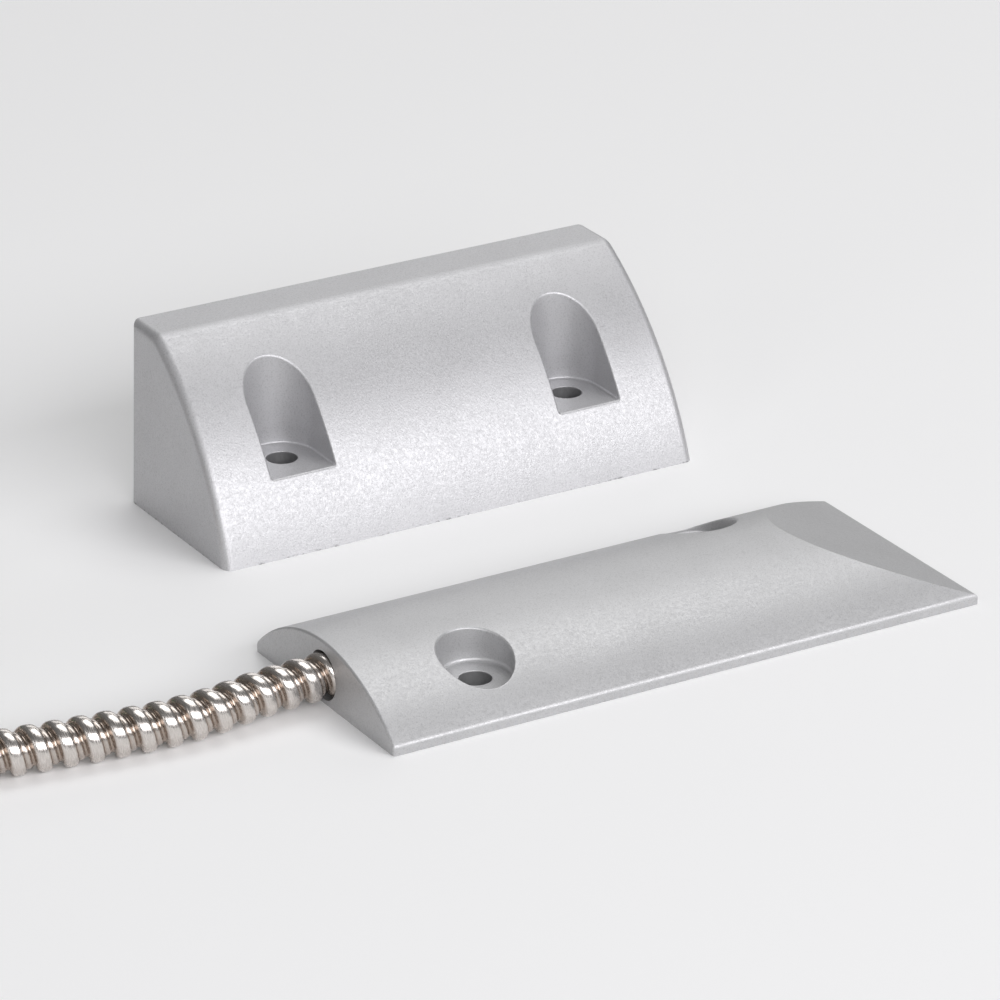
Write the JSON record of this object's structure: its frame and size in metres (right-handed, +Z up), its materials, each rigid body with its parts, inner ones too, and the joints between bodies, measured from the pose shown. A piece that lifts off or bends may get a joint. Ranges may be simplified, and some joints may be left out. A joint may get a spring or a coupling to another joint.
{
  "type": "door contact sensor",
  "caption": "Overhead-door magnetic contact: low floor switch with an armoured cable, and a quarter-round magnet unit that lifts with the door.",
  "frame": {"origin": "centre of the floor switch's base face", "axes": "+X along the switch away from its cable, +Y from the switch to the magnet unit, +Z up from the floor"},
  "size_m": [0.2492, 0.1205, 0.0315],
  "materials": {
    "cast_silver": "fine sandy silver paint over a die casting",
    "epoxy_fill": "poured black epoxy, level with the base",
    "reed_glass": "greenish sealed glass",
    "contact_metal": "plated nickel-iron",
    "board_laminate": "green solder mask",
    "solder_metal": "bright solder",
    "tinned_copper": "tinned copper strands",
    "insulation_black": "black insulation",
    "insulation_white": "white insulation",
    "insulation_green": "green insulation",
    "plate_steel": "zinc-plated steel",
    "bushing_nylon": "red nylon",
    "armour_steel": "polished stainless strip, wound in a helix",
    "tie_nylon": "black nylon",
    "ferrule_brass": "plain brass",
    "magnet_ferrite": "pressed ferrite"
  },
  "bodies": {
    "switch_unit": {"armour_coil": "armour_steel", "armour_end_bushing": "bushing_nylon", "armour_end_ferrule": "ferrule_brass", "armour_run": "armour_steel", "cable_anchor_plate": "plate_steel", "coil_ties": "tie_nylon", "inner_wire_closed": "insulation_green", "inner_wire_common": "insulation_black", "inner_wire_cores": "tinned_copper", "inner_wire_open": "insulation_white", "lead_closed": "insulation_green", "lead_common": "insulation_black", "lead_open": "insulation_white", "lead_tips": "tinned_copper", "reed_board": "board_laminate", "reed_common_lead": "contact_metal", "reed_contact_closed": "contact_metal", "reed_contact_open": "contact_metal", "reed_glass": "reed_glass", "reed_solder_joints": "solder_metal", "switch_housing": "cast_silver", "switch_potting": "epoxy_fill", "throat_bushing": "bushing_nylon"},
    "magnet_unit": {"magnet_housing": "cast_silver", "magnet_bar": "magnet_ferrite", "magnet_potting": "epoxy_fill"},
    "armature": {"reed_armature": "contact_metal"}
  },
  "joints": [
    {"name": "door_lift", "type": "slide", "parent": "switch_unit", "child": "magnet_unit", "axis": [0, 0, 1], "range_m": [0, 0.08]},
    {"name": "armature_swing", "type": "hinge", "parent": "switch_unit", "child": "armature", "pos_m": [0.00438, 0, 0.005], "axis": [0, 0, 1], "range_deg": [0, 1.6], "stiffness_Nm_per_rad": 0.0002}
  ]
}
